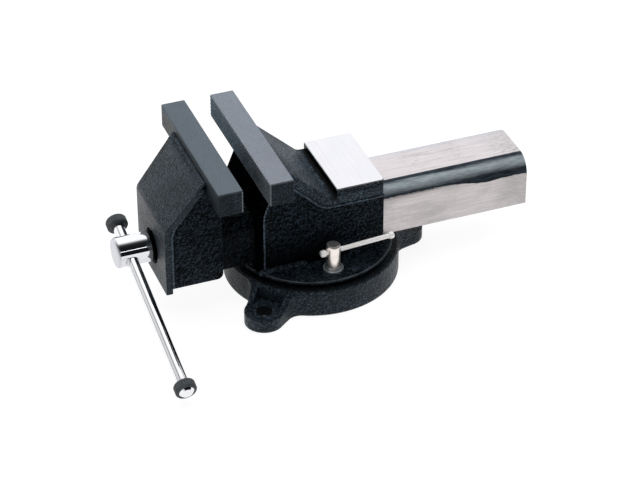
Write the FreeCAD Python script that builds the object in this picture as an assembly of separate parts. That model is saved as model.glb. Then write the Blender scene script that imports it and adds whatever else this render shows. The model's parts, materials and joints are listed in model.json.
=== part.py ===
"""Bench vise with a swivel base, built from welded steel plate.

Millimetres.  +Z is up, +Y points to the tail of the slide bar, the handle end
is at -Y and the jaws run along X.  The origin lies on the swivel axis, in the
bench plane that the base stands on.
"""
import FreeCAD, Part
import math
import os

V = FreeCAD.Vector
os.makedirs("parts", exist_ok=True)

# ------------------------------------------------------------ driving sizes
# jaws
JAW_W = 150.0            # jaw width along X
JAW_TOP = 144.3          # top of both jaws above the bench
JAW_H = 21.5             # height of a jaw block
JAW_T = 21.2             # thickness of a jaw block
GAP = 22.6               # opening of the jaws as drawn
Y_FIX = -63.7            # working face of the fixed jaw
TOOTH_PITCH = 3.4        # cross-hatch pitch along the jaw, grooves at 45 degrees
TOOTH_DEPTH = 0.8
TOOTH_HALF = 1.1

# swivel base
R_BASE = 76.5            # base wall at the bench
H_BASE = 25.2            # top of the base ring
LUG_R = 92.3             # bolt hole radius from the swivel axis
LUG_END_R = 17.0
LUG_T = 11.0             # lug thickness round the bolt hole
LUG_HOLE_D = 14.0        # clearance hole for a 12 mm bolt
LUG_ANGLES = (-46.0, 97.0, 206.0)
R_SLOT_IN, R_SLOT_OUT = 47.0, 61.0     # neck of the ring-shaped T-slot
R_TEE_IN, R_TEE_OUT = 42.0, 66.0       # wide part of the T-slot
Z_TEE_FLOOR, Z_TEE_LIP = 7.5, 17.5

# turntable
R_TABLE = 71.0
Z_TABLE0 = 25.5          # underside, 0.3 above the base
Z_TABLE = 31.0           # top
Z_FLOOR = 37.3           # top of the floor plate under the bar

# slide bar: channel, open side down
BAR_HW = 31.5            # half width
BAR_Z0, BAR_Z1 = 37.7, 83.3
BAR_WALL = 6.5
BAR_R = 16.0             # outer bend radius
BAR_RI = 5.0             # inner corner radius
BAR_TAIL = 189.6         # tail end along Y

# fixed body
BODY_HW = 39.6           # half width over the front plate, strap and anvil
SIDE_X0, SIDE_X1 = 31.9, 38.9
BODY_REAR = 52.0
Z_STRAP = 85.2           # underside of the strap where it is flat
STRAP_T = 8.8
STRAP_ANG = 42.8         # slope of the strap behind the jaw
ANVIL_Y0 = 8.9
ANVIL_TOP = 100.4

# movable jaw
FRONT_Y = -143.5         # outer face of the bent front plate
FRONT_T = 5.8
FRONT_HW = 38.4          # half width of its upright part
FRONT_HW_TOP = 42.0      # half width at the top of the slope
FRONT_Z0 = 28.4
FRONT_BEND_Z = 92.6
FRONT_TAN = 1.25         # slope of the upper part
FRONT_TOP_Y = -113.0     # top edge of the outer face
MSIDE_X0, MSIDE_X1 = 31.5, 37.4

# screw and handle
SCREW_Z = 55.7           # screw axis height
SCREW_D = 22.0
SCREW_END = 160.0
HEAD_D = 26.6
HEAD_Y0, HEAD_Y1 = -176.7, -141.0
HANDLE_Y = -164.5        # plane the handle turns in
HANDLE_ANG = 14.6        # tilt of the handle below level, towards +X
HANDLE_D = 10.0
HANDLE_UP, HANDLE_LOW = 31.3, 152.7    # cap centres from the screw axis
CAP_D, CAP_T = 18.5, 8.6

# swivel locks
LOCK_X = 54.0
LOCK_D = 10.0
LOCK_HEAD_D = 12.6
LOCK_TOP = 56.2
TOMMY_Z = 49.0
TOMMY_D = 4.2
TOMMY_ANG = 4.5
TOMMY_SHORT, TOMMY_LONG = 9.3, 54.5
RUN = 0.08               # radial running clearance of every turning fit


# ------------------------------------------------------------ helpers
def box(x0, x1, y0, y1, z0, z1):
    return Part.makeBox(x1 - x0, y1 - y0, z1 - z0, V(x0, y0, z0))


def cyl(r, p, d, h):
    return Part.makeCylinder(r, h, V(*p), V(*d))


def cone(r0, r1, p, d, h):
    return Part.makeCone(r0, r1, h, V(*p), V(*d))


def rounded(pts):
    """Closed wire edges through (a, b, radius) corners; radius 0 is sharp."""
    n = len(pts)
    ins, outs, mids = [], [], []
    for i in range(n):
        a, b, r = pts[i]
        if r <= 0:
            ins.append((a, b)); outs.append((a, b)); mids.append(None)
            continue
        pa, pb = pts[i - 1], pts[(i + 1) % n]
        u = (pa[0] - a, pa[1] - b); w = (pb[0] - a, pb[1] - b)
        lu, lw = math.hypot(*u), math.hypot(*w)
        u = (u[0] / lu, u[1] / lu); w = (w[0] / lw, w[1] / lw)
        half = math.acos(max(-1.0, min(1.0, u[0] * w[0] + u[1] * w[1]))) / 2
        t = r / math.tan(half)
        ins.append((a + u[0] * t, b + u[1] * t))
        outs.append((a + w[0] * t, b + w[1] * t))
        m = (u[0] + w[0], u[1] + w[1]); lm = math.hypot(*m)
        k = r / math.sin(half) - r
        mids.append((a + m[0] / lm * k, b + m[1] / lm * k))
    out = []
    for i in range(n):
        if mids[i]:
            out.append(("arc", ins[i], mids[i], outs[i]))
        j = (i + 1) % n
        if math.hypot(outs[i][0] - ins[j][0], outs[i][1] - ins[j][1]) > 1e-7:
            out.append(("line", outs[i], ins[j]))
    return out


def face_from(pts, place):
    edges = []
    for e in rounded(pts):
        if e[0] == "line":
            edges.append(Part.makeLine(place(*e[1]), place(*e[2])))
        else:
            edges.append(Part.Arc(place(*e[1]), place(*e[2]), place(*e[3])).toShape())
    return Part.Face(Part.Wire(edges))


def plate_yz(pts, x0, x1):
    """Outline in the YZ plane, extruded from x0 to x1."""
    f = face_from(pts, lambda y, z: V(x0, y, z))
    return f.extrude(V(x1 - x0, 0, 0))


def prism_xz(pts, y0, y1):
    f = face_from(pts, lambda x, z: V(x, y0, z))
    return f.extrude(V(0, y1 - y0, 0))


def turned(pts):
    """Outline in (r, z), turned about Z."""
    f = face_from(pts, lambda r, z: V(r, 0, z))
    return f.revolve(V(0, 0, 0), V(0, 0, 1), 360)


def edges_where(shape, test):
    out = []
    for e in shape.Edges:
        ps = [v.Point for v in e.Vertexes]
        if ps and all(test(p) for p in ps):
            out.append(e)
    return out


def same_x(shape, test):
    """Edges that pass the test and stay in one YZ plane."""
    return [e for e in edges_where(shape, test) if abs(e.Vertexes[0].X - e.Vertexes[-1].X) < 1e-3]


def near(a, b, tol=1e-3):
    return abs(a - b) < tol


def rot_z(shape, deg):
    s = shape.copy()
    s.rotate(V(0, 0, 0), V(0, 0, 1), deg)
    return s


def save(name, shape):
    if shape.ShapeType == "Compound" and len(shape.Solids) == 1:
        shape = shape.Solids[0]
    if not shape.isValid():
        raise RuntimeError(name + " is not valid")
    shape.exportStep("parts/%s.step" % name)
    b = shape.BoundBox
    print("%-26s solids %d  vol %9.0f  x %7.2f %7.2f  y %7.2f %7.2f  z %6.2f %6.2f"
          % (name, len(shape.Solids), shape.Volume, b.XMin, b.XMax, b.YMin, b.YMax, b.ZMin, b.ZMax))


# ------------------------------------------------------------ swivel base
def make_base():
    s = cyl(R_BASE, (0, 0, 0), (0, 0, 1), H_BASE)
    lugs = []
    for a in LUG_ANGLES:
        half = 21.0
        body = Part.Face(Part.Wire([
            Part.makeLine(V(58, -half, 0), V(LUG_R, -LUG_END_R, 0)),
            Part.Arc(V(LUG_R, -LUG_END_R, 0), V(LUG_R + LUG_END_R, 0, 0), V(LUG_R, LUG_END_R, 0)).toShape(),
            Part.makeLine(V(LUG_R, LUG_END_R, 0), V(58, half, 0)),
            Part.makeLine(V(58, half, 0), V(58, -half, 0))])).extrude(V(0, 0, H_BASE))
        lugs.append(rot_z(body, a))
    s = s.fuse(lugs).removeSplitter()
    # hollow necks where each lug runs into the round wall
    vert = []
    for e in s.Edges:
        p = [v.Point for v in e.Vertexes]
        if len(p) == 2 and near(p[0].x, p[1].x) and near(p[0].y, p[1].y) and abs(p[0].z - p[1].z) > 20:
            if near(math.hypot(p[0].x, p[0].y), R_BASE, 0.05):
                vert.append(e)
    s = s.makeFillet(13.0, vert)
    # top of the lugs falls from the rim to the bolt seat
    fall = turned([(R_BASE + 0.4, H_BASE + 1, 0), (R_BASE + 0.4, H_BASE - 1.2, 0),
                   (LUG_R - 1.5, LUG_T, 9.0), (130, LUG_T, 0), (130, H_BASE + 1, 0)])
    s = s.cut(fall)
    # bolt-head pocket and bolt hole of each lug
    cuts = []
    for a in LUG_ANGLES:
        pocket = cyl(12.8, (LUG_R, 0, LUG_T - 0.6), (0, 0, 1), 30)
        pocket = pocket.fuse(box(R_BASE + 0.6, LUG_R, -12.8, 12.8, LUG_T - 0.6, 40))
        pocket = pocket.cut(cyl(R_BASE + 0.6, (0, 0, 0), (0, 0, 1), 60))
        hole = cyl(LUG_HOLE_D / 2, (LUG_R, 0, -1), (0, 0, 1), 40)
        cuts.append(rot_z(pocket.fuse(hole), a))
    s = s.cut(cuts[0]).cut(cuts[1]).cut(cuts[2])
    # rounded rim and draft of the wall
    s = s.cut(turned([(R_BASE - 1.6, H_BASE, 0), (R_BASE + 1.4, H_BASE, 0), (R_BASE + 1.4, H_BASE - 3.0, 0)]))
    # ring-shaped T-slot
    s = s.cut(turned([(R_TEE_IN, Z_TEE_FLOOR, 1.0), (R_TEE_OUT, Z_TEE_FLOOR, 1.0), (R_TEE_OUT, Z_TEE_LIP, 0),
                      (R_SLOT_OUT, Z_TEE_LIP, 0), (R_SLOT_OUT, H_BASE + 1, 0), (R_SLOT_IN, H_BASE + 1, 0),
                      (R_SLOT_IN, Z_TEE_LIP, 0), (R_TEE_IN, Z_TEE_LIP, 0)]))
    # hub: pivot bore, room for the bolt head underneath, lightening ring
    s = s.cut(cyl(8.0 + RUN, (0, 0, -1), (0, 0, 1), 40))
    s = s.cut(cyl(21.0, (0, 0, -1), (0, 0, 1), 16.6))
    s = s.cut(turned([(26.0, -1, 0), (37.0, -1, 0), (36.0, 16.0, 2.0), (27.0, 16.0, 2.0)]))
    # assembly hole for the T-nuts, in the floor of the slot
    for a in (20.0, 200.0):
        s = s.cut(rot_z(cyl(11.8, (54.0, 0, -1), (0, 0, 1), 12), a))
    return s


save("swivel_base", make_base())

# ------------------------------------------------------------ turntable and floor
table = turned([(8.03, Z_TABLE0, 0), (67.0, Z_TABLE0, 0), (67.0, Z_TABLE0 + 1.9, 0.6), (R_TABLE, Z_TABLE0 + 2.4, 0.5),
                (R_TABLE, Z_TABLE, 2.4), (8.03, Z_TABLE, 0)])
for sx in (-1, 1):
    table = table.cut(cyl(LOCK_D / 2 + RUN, (sx * LOCK_X, 0, 20), (0, 0, 1), 20))
for y in (-20.0, 20.0):
    table = table.cut(cyl(4.03, (0, y, 20), (0, 0, 1), 20))
    table = table.cut(cone(7.7, 4.03, (0, y, Z_TABLE0), (0, 0, 1), 4.2))
save("turntable_plate", table)

floor = box(-SIDE_X0, SIDE_X0, -57.0, BODY_REAR, Z_TABLE, Z_FLOOR)
floor = floor.cut(cyl(8.03, (0, 0, 20), (0, 0, 1), 30))
for y in (-20.0, 20.0):
    floor = floor.cut(cyl(4.03, (0, y, 20), (0, 0, 1), 30))
save("body_floor_plate", floor)

# ------------------------------------------------------------ pivot
hexr = 24.0 / 2 / math.cos(math.radians(30))
hexf = Part.Face(Part.makePolygon([V(hexr * math.cos(math.radians(60 * i)), hexr * math.sin(math.radians(60 * i)), 2.2)
                                   for i in range(7)]))
pivot = hexf.extrude(V(0, 0, 10.0)).common(turned([(0, 2.2, 0), (11.6, 2.2, 0), (14.2, 3.8, 0), (14.2, 12.2, 0), (0, 12.2, 0)]))
pivot = pivot.fuse(cyl(8.0, (0, 0, 12.2), (0, 0, 1), 24.6)).removeSplitter()
save("pivot_bolt", pivot)
save("pivot_washer", cyl(15.0, (0, 0, 12.2), (0, 0, 1), 3.0).cut(cyl(8.03, (0, 0, 12.0), (0, 0, 1), 4)))

# ------------------------------------------------------------ fixed body plates
tan_s = math.tan(math.radians(STRAP_ANG))
cos_s = math.cos(math.radians(STRAP_ANG))
JB0 = JAW_TOP - JAW_H                    # underside of the jaw blocks
Y_BACK = Y_FIX + JAW_T                   # rear face of the fixed jaw block
Y_LOW = Y_BACK + (JB0 + 0.4 - Z_STRAP) / tan_s    # where the lower face of the strap turns level
Z_UP_AT_LOW = Z_STRAP + STRAP_T / cos_s
Y_UPB = Y_LOW + (Z_UP_AT_LOW - Z_STRAP - STRAP_T) / tan_s
Z_UP_BACK = Z_UP_AT_LOW + (Y_LOW - Y_BACK) * tan_s

FP_T = 5.7
FP_Y = -62.7
FP_BEND = 89.0
FP_TAN = 0.40
fp_top = FP_Y + (JB0 - FP_BEND) * FP_TAN
fp_off = FP_T / math.cos(math.atan(FP_TAN))
fp_in_bend = FP_BEND - FP_T * math.tan(math.atan(FP_TAN) / 2)
front = plate_yz([(FP_Y, Z_TABLE, 0), (FP_Y, FP_BEND, 9.0), (fp_top, JB0, 0), (fp_top + fp_off, JB0, 0),
                  (FP_Y + FP_T, fp_in_bend, 4.0), (FP_Y + FP_T, Z_TABLE, 0)], -BODY_HW, BODY_HW)
win = prism_xz([(-SIDE_X0, Z_TABLE - 1, 0), (SIDE_X0, Z_TABLE - 1, 0), (SIDE_X0, BAR_Z1 + 0.5, 12.0), (-SIDE_X0, BAR_Z1 + 0.5, 12.0)],
               -70, -40)
front = front.cut(win)
front = front.fuse(box(-SIDE_X0, SIDE_X0, FP_Y + 1.0, FP_Y + FP_T, Z_TABLE, Z_FLOOR)).removeSplitter()
save("fixed_front_plate", front)

side_pts = [(FP_Y + FP_T, Z_TABLE, 0), (BODY_REAR, Z_TABLE, 0), (BODY_REAR, Z_STRAP, 0), (Y_LOW, Z_STRAP, 16.0),
            (Y_BACK, JB0 + 0.4, 0), (Y_BACK, JB0, 0), (fp_top + fp_off, JB0, 0), (FP_Y + FP_T, fp_in_bend, 4.0)]
# the strap and the front plate close the outline, so the corner at the jaw is trimmed to the block's underside
save("fixed_side_plate_right", plate_yz(side_pts, SIDE_X0, SIDE_X1).common(box(30, 40, -70, 60, Z_TABLE, JB0)))
save("fixed_side_plate_left", plate_yz(side_pts, -SIDE_X1, -SIDE_X0).common(box(-40, -30, -70, 60, Z_TABLE, JB0)))

strap = plate_yz([(Y_BACK, JB0 + 0.4, 0), (Y_LOW, Z_STRAP, 16.0), (BODY_REAR, Z_STRAP, 0),
                  (BODY_REAR, Z_STRAP + STRAP_T, 0), (Y_UPB, Z_STRAP + STRAP_T, 8.0), (Y_BACK, Z_UP_BACK, 0)],
                 -BODY_HW, BODY_HW)
rim = same_x(strap, lambda p: near(p.y, BODY_REAR) and near(abs(p.x), BODY_HW))
if rim:
    strap = strap.makeFillet(3.0, rim)
save("top_strap", strap)

zc = ANVIL_TOP - 0.5
anvil = face_from([(-BODY_HW, ANVIL_Y0, 0), (BODY_HW, ANVIL_Y0, 0), (BODY_HW, BODY_REAR, 3.0), (-BODY_HW, BODY_REAR, 3.0)],
                  lambda x, y: V(x, y, Z_STRAP + STRAP_T)).extrude(V(0, 0, zc - Z_STRAP - STRAP_T))
hi = face_from([(-BODY_HW + 0.5, ANVIL_Y0 + 0.5, 0), (BODY_HW - 0.5, ANVIL_Y0 + 0.5, 0), (BODY_HW - 0.5, BODY_REAR - 0.5, 2.5),
                (-BODY_HW + 0.5, BODY_REAR - 0.5, 2.5)], lambda x, y: V(x, y, ANVIL_TOP)).OuterWire
lo = face_from([(-BODY_HW, ANVIL_Y0, 0), (BODY_HW, ANVIL_Y0, 0), (BODY_HW, BODY_REAR, 3.0), (-BODY_HW, BODY_REAR, 3.0)],
               lambda x, y: V(x, y, zc)).OuterWire
anvil = anvil.fuse(Part.makeLoft([lo, hi], True)).removeSplitter()
save("anvil_plate", anvil)


def jaw_block(y_face, toward):
    """Block with a cross-hatched face.  toward = +1 when it lies on the +Y side of its face."""
    y0, y1 = (y_face, y_face + JAW_T) if toward > 0 else (y_face - JAW_T, y_face)
    b = box(-JAW_W / 2, JAW_W / 2, y0, y1, JB0, JAW_TOP)
    b = b.makeFillet(1.1, [e for e in b.Edges])
    zc = (JB0 + JAW_TOP) / 2
    n = int((JAW_W + 2 * JAW_H) / TOOTH_PITCH) + 2
    run = JAW_H * 1.6
    w = TOOTH_HALF
    for lean in (45, -45):
        vs = []
        for i in range(-n // 2, n // 2 + 1):
            g = Part.Face(Part.makePolygon([V(-w, -0.2 * toward, 0), V(0, TOOTH_DEPTH * toward, 0), V(w, -0.2 * toward, 0),
                                            V(-w, -0.2 * toward, 0)])).extrude(V(0, 0, 2 * run))
            g.translate(V(0, 0, -run))
            g.rotate(V(0, 0, 0), V(0, 1, 0), lean)
            g.translate(V(i * TOOTH_PITCH, y_face, zc))
            vs.append(g)
        b = b.cut(Part.makeCompound(vs))
    return b


save("fixed_jaw_block", jaw_block(Y_FIX, +1))

# nut of the lead screw, bolted down through the floor plate
nut = cyl(18.0, (0, -30, SCREW_Z), (0, 1, 0), 60).fuse(box(-18, 18, -30, 30, Z_FLOOR, SCREW_Z)).removeSplitter()
nut = nut.cut(cyl(SCREW_D / 2 + RUN, (0, -31, SCREW_Z), (0, 1, 0), 62))
nut = nut.cut(cone(13.0, 11.0 + RUN, (0, -30, SCREW_Z), (0, 1, 0), 2.0)).cut(cone(13.0, 11.0 + RUN, (0, 30, SCREW_Z), (0, -1, 0), 2.0))
for y in (-20.0, 20.0):
    nut = nut.cut(cyl(4.03, (0, y, 30), (0, 0, 1), 13.3))
save("screw_nut", nut)
scr = []
for y in (-20.0, 20.0):
    one = cone(7.4, 4.0, (0, y, Z_TABLE0 + 0.2), (0, 0, 1), 4.0).fuse(cyl(4.0, (0, y, Z_TABLE0 + 4.0), (0, 0, 1), 13.4)).removeSplitter()
    one = one.cut(cyl(2.4, (0, y, Z_TABLE0), (0, 0, 1), 3.0))
    scr.append(one)
save("nut_screws", Part.makeCompound(scr))

# ------------------------------------------------------------ movable jaw
YM_FACE = Y_FIX - GAP
YM_FRONT = YM_FACE - JAW_T
save("movable_jaw_block", jaw_block(YM_FACE, -1))
z_top = FRONT_BEND_Z + FRONT_TAN * (FRONT_TOP_Y - FRONT_Y)
ang = math.atan(FRONT_TAN)
off_v = FRONT_T / math.cos(ang)
in_bend = FRONT_BEND_Z - FRONT_T * math.tan((math.pi / 2 - ang) / 2)
z_in_top = FRONT_BEND_Z + FRONT_TAN * (YM_FRONT - FRONT_Y) - off_v
mf = plate_yz([(FRONT_Y, FRONT_Z0, 0), (FRONT_Y, FRONT_BEND_Z, 9.0), (FRONT_TOP_Y, z_top, 0), (YM_FRONT, z_in_top + 1.6, 0),
               (YM_FRONT, z_in_top, 0), (FRONT_Y + FRONT_T, in_bend, 4.0), (FRONT_Y + FRONT_T, FRONT_Z0, 0)],
              -FRONT_HW_TOP, FRONT_HW_TOP)
# the upright part is narrower and the slope flares towards the jaw
mf = mf.common(prism_xz([(-FRONT_HW, FRONT_Z0 - 1, 0), (FRONT_HW, FRONT_Z0 - 1, 0), (FRONT_HW, FRONT_BEND_Z - 2, 30.0),
                         (FRONT_HW_TOP, z_top, 0), (FRONT_HW_TOP, z_top + 5, 0), (-FRONT_HW_TOP, z_top + 5, 0),
                         (-FRONT_HW_TOP, z_top, 0), (-FRONT_HW, FRONT_BEND_Z - 2, 30.0)], -160, -90))
low = same_x(mf, lambda p: near(p.z, FRONT_Z0) and near(abs(p.x), FRONT_HW))
mf = mf.makeFillet(2.0, low)
mf = mf.cut(cyl(15.6, (0, -150, SCREW_Z), (0, 1, 0), 20))
save("movable_front_plate", mf)

ms_pts = [(FRONT_Y + FRONT_T, 33.3, 0), (-92.6, 33.3, 5.5), (-92.6, JB0, 0), (YM_FRONT, JB0, 0), (YM_FRONT, z_in_top, 0),
          (FRONT_Y + FRONT_T, in_bend, 4.0)]
save("movable_side_plate_right", plate_yz(ms_pts, MSIDE_X0, MSIDE_X1))
save("movable_side_plate_left", plate_yz(ms_pts, -MSIDE_X1, -MSIDE_X0))
save("movable_back_plate", box(-MSIDE_X0, MSIDE_X0, -98.0, -92.9, BAR_Z1, JB0))

bar = prism_xz([(-BAR_HW, BAR_Z0, 0), (-BAR_HW, BAR_Z1, BAR_R), (BAR_HW, BAR_Z1, BAR_R), (BAR_HW, BAR_Z0, 0),
                (BAR_HW - BAR_WALL, BAR_Z0, 0), (BAR_HW - BAR_WALL, BAR_Z1 - BAR_WALL, BAR_RI),
                (-BAR_HW + BAR_WALL, BAR_Z1 - BAR_WALL, BAR_RI), (-BAR_HW + BAR_WALL, BAR_Z0, 0)],
               FRONT_Y + FRONT_T, BAR_TAIL)
save("slide_bar", bar)

tb = prism_xz([(-24.4, 39.2, 0), (24.4, 39.2, 0), (24.4, 76.3, 5.0), (-24.4, 76.3, 5.0)], FRONT_Y + FRONT_T, -127.7)
tb = tb.cut(cyl(SCREW_D / 2 + RUN, (0, -140, SCREW_Z), (0, 1, 0), 20))
save("thrust_block", tb)
save("thrust_washer", cyl(15.2, (0, -140.7, SCREW_Z), (0, 1, 0), 3.0).cut(cyl(SCREW_D / 2 + RUN, (0, -142, SCREW_Z), (0, 1, 0), 6)))

# ------------------------------------------------------------ lead screw
hd = Part.Face(Part.Wire([Part.makeLine(V(*a), V(*b)) for a, b in (
    ((0, HEAD_Y0, SCREW_Z), (HEAD_D / 2 - 2.2, HEAD_Y0, SCREW_Z)),
    ((HEAD_D / 2 - 2.2, HEAD_Y0, SCREW_Z), (HEAD_D / 2, HEAD_Y0 + 2.6, SCREW_Z)),
    ((HEAD_D / 2, HEAD_Y0 + 2.6, SCREW_Z), (HEAD_D / 2, HEAD_Y1 - 0.6, SCREW_Z)),
    ((HEAD_D / 2, HEAD_Y1 - 0.6, SCREW_Z), (HEAD_D / 2 - 0.6, HEAD_Y1, SCREW_Z)),
    ((HEAD_D / 2 - 0.6, HEAD_Y1, SCREW_Z), (SCREW_D / 2, HEAD_Y1, SCREW_Z)),
    ((SCREW_D / 2, HEAD_Y1, SCREW_Z), (SCREW_D / 2, -112.0, SCREW_Z)),
    ((SCREW_D / 2, -112.0, SCREW_Z), (8.4, -110.0, SCREW_Z)),
    ((8.4, -110.0, SCREW_Z), (8.4, -106.0, SCREW_Z)),
    ((8.4, -106.0, SCREW_Z), (SCREW_D / 2, -103.5, SCREW_Z)),
    ((SCREW_D / 2, -103.5, SCREW_Z), (SCREW_D / 2, SCREW_END - 2.5, SCREW_Z)),
    ((SCREW_D / 2, SCREW_END - 2.5, SCREW_Z), (8.4, SCREW_END, SCREW_Z)),
    ((8.4, SCREW_END, SCREW_Z), (0, SCREW_END, SCREW_Z)),
    ((0, SCREW_END, SCREW_Z), (0, HEAD_Y0, SCREW_Z)))]))
screw = hd.revolve(V(0, 0, SCREW_Z), V(0, 1, 0), 360)
ca, sa = math.cos(math.radians(HANDLE_ANG)), math.sin(math.radians(HANDLE_ANG))
HDIR = (ca, 0, -sa)


def on_handle(t):
    return (t * ca, HANDLE_Y, SCREW_Z - t * sa)


screw = screw.cut(cyl(HANDLE_D / 2 + RUN, on_handle(-25), HDIR, 50))
for sgn in (-1, 1):
    screw = screw.cut(cone(HANDLE_D / 2 + RUN + 1.4, HANDLE_D / 2 + RUN, on_handle(sgn * 13.5), (-sgn * ca, 0, sgn * sa), 1.9))
screw = screw.cut(cyl(3.0, (0, -120.4, SCREW_Z - 20), (0, 0, 1), 40))
save("lead_screw", screw)

col = cyl(17.0, (0, -127.4, SCREW_Z), (0, 1, 0), 14.0)
col = col.makeChamfer(1.0, [e for e in col.Edges if e.Length > 50])
col = col.cut(cyl(SCREW_D / 2, (0, -130, SCREW_Z), (0, 1, 0), 20)).cut(cyl(3.0, (0, -120.4, SCREW_Z - 20), (0, 0, 1), 40))
save("retaining_collar", col)
pin = cyl(3.0, (0, -120.4, SCREW_Z - 16.6), (0, 0, 1), 33.2).cut(cyl(1.7, (0, -120.4, SCREW_Z - 18), (0, 0, 1), 36))
save("collar_pin", pin)

# ------------------------------------------------------------ handle
t0, t1 = -(HANDLE_UP + CAP_T / 2), HANDLE_LOW + CAP_T / 2
hb = cyl(HANDLE_D / 2, on_handle(t0), HDIR, t1 - t0)
for t, sg in ((t0, -1), (t1, 1)):
    hb = hb.fuse(Part.makeCone(6.4, 4.9, 1.5, V(*on_handle(t)), V(sg * ca, 0, -sg * sa)))
hb = hb.removeSplitter()
save("handle_bar", hb)
for nm, tc in (("handle_cap_upper", -HANDLE_UP), ("handle_cap_lower", HANDLE_LOW)):
    c = cyl(CAP_D / 2, on_handle(tc - CAP_T / 2), HDIR, CAP_T)
    c = c.makeFillet(1.4, [e for e in c.Edges if e.Length > 40 and len(e.Vertexes) == 1])
    save(nm, c.cut(cyl(HANDLE_D / 2, on_handle(tc - 10), HDIR, 20)))

# ------------------------------------------------------------ swivel locks
ct, st = math.cos(math.radians(TOMMY_ANG)), math.sin(math.radians(TOMMY_ANG))
TDIR = (-st, ct, 0)


def on_tommy(t):
    return (LOCK_X + t * TDIR[0], t * TDIR[1], TOMMY_Z)


head = cyl(LOCK_HEAD_D / 2, (LOCK_X, 0, 32.9), (0, 0, 1), LOCK_TOP - 32.9)
head = head.makeFillet(1.9, [e for e in head.Edges if near(e.Vertexes[0].Z, LOCK_TOP) and e.Length > 30 and len(e.Vertexes) == 1])
bolt = head.fuse(cyl(LOCK_D / 2, (LOCK_X, 0, 9.4), (0, 0, 1), 24)).removeSplitter()
bolt = bolt.cut(cyl(TOMMY_D / 2 + RUN, on_tommy(-12), TDIR, 24))
washer = cyl(8.7, (LOCK_X, 0, Z_TABLE), (0, 0, 1), 1.6).cut(cyl(LOCK_D / 2 + RUN, (LOCK_X, 0, 30), (0, 0, 1), 4))
tommy = cyl(TOMMY_D / 2, on_tommy(-TOMMY_SHORT), TDIR, TOMMY_SHORT + TOMMY_LONG)
for t, sg in ((-TOMMY_SHORT, -1), (TOMMY_LONG, 1)):
    ball = cyl(3.1, on_tommy(t - 2.6), TDIR, 5.2)
    ball = ball.makeFillet(1.5, [e for e in ball.Edges if e.Length > 15 and len(e.Vertexes) == 1])
    tommy = tommy.fuse(ball)
tommy = tommy.removeSplitter()
tee = turned([(R_TEE_IN + 0.5, 8.4, 0.6), (R_TEE_OUT - 0.5, 8.4, 0.6), (R_TEE_OUT - 0.5, 16.3, 0), (R_SLOT_OUT - 0.4, 16.3, 0),
              (R_SLOT_OUT - 0.4, 23.4, 0), (R_SLOT_IN + 0.4, 23.4, 0), (R_SLOT_IN + 0.4, 16.3, 0), (R_TEE_IN + 0.5, 16.3, 0)])
tee = tee.common(box(30, 80, -10, 10, 0, 30)).cut(cyl(LOCK_D / 2 + RUN, (LOCK_X, 0, 0), (0, 0, 1), 40))
for side, turn in (("right", 0), ("left", 180)):
    save("lock_bolt_" + side, rot_z(bolt, turn))
    save("lock_washer_" + side, rot_z(washer, turn))
    save("lock_tommy_" + side, rot_z(tommy, turn))
    save("t_nut_" + side, rot_z(tee, turn))
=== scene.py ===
import json
import math

import bmesh
import bpy
from mathutils import Matrix, Vector, noise

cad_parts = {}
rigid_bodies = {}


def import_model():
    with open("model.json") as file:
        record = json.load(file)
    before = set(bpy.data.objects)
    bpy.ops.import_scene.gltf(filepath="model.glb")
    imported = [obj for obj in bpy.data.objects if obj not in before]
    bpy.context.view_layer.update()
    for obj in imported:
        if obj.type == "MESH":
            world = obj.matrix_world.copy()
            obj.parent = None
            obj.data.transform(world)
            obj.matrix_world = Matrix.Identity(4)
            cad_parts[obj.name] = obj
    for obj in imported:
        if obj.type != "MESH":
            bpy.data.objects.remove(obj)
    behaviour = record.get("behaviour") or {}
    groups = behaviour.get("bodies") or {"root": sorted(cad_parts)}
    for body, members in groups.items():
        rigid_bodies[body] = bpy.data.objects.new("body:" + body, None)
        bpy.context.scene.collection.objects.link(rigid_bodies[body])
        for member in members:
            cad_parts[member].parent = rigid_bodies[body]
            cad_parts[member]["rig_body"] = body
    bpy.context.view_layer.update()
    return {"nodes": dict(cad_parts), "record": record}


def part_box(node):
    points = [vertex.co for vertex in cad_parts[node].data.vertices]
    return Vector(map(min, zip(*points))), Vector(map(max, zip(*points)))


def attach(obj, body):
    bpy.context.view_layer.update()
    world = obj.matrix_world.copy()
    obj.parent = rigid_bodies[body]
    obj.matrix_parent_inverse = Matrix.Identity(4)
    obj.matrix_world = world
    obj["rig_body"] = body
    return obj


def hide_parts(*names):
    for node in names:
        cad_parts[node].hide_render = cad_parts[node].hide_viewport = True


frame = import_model()
N = frame["nodes"]
MM = 0.001
scene = bpy.context.scene


def mm(v):
    return v / MM


def lo(n):
    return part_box(n)[0]


def hi(n):
    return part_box(n)[1]


# ------------------------------------------------------------------ places, from the frame
JAW_TOP = hi("fixed_jaw_block").z
JAW_LOW = lo("fixed_jaw_block").z
Y_FIX = lo("fixed_jaw_block").y
Y_FIX_BACK = hi("fixed_jaw_block").y
Y_MOV = hi("movable_jaw_block").y
Y_MOV_FRONT = lo("movable_jaw_block").y
Z_TABLE = hi("turntable_plate").z
Z_BASE = hi("swivel_base").z
BAR_Z0, BAR_Z1 = lo("slide_bar").z, hi("slide_bar").z
BAR_HW = hi("slide_bar").x
BAR_TAIL = hi("slide_bar").y
SIDE_X1 = hi("fixed_side_plate_right").x
BODY_HW = hi("top_strap").x
BODY_REAR = hi("top_strap").y
FRONT_Y = lo("movable_front_plate").y
FRONT_Z0 = lo("movable_front_plate").z
MSIDE_X = hi("movable_side_plate_right").x
MSIDE_Y = hi("movable_side_plate_right").y
ANVIL_TOP = hi("anvil_plate").z
ANVIL_Y0 = lo("anvil_plate").y
wash_lo, wash_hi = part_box("thrust_washer")
SCREW_Z = (wash_lo.z + wash_hi.z) / 2
cap_a = (lo("handle_cap_upper") + hi("handle_cap_upper")) / 2
cap_b = (lo("handle_cap_lower") + hi("handle_cap_lower")) / 2
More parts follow.
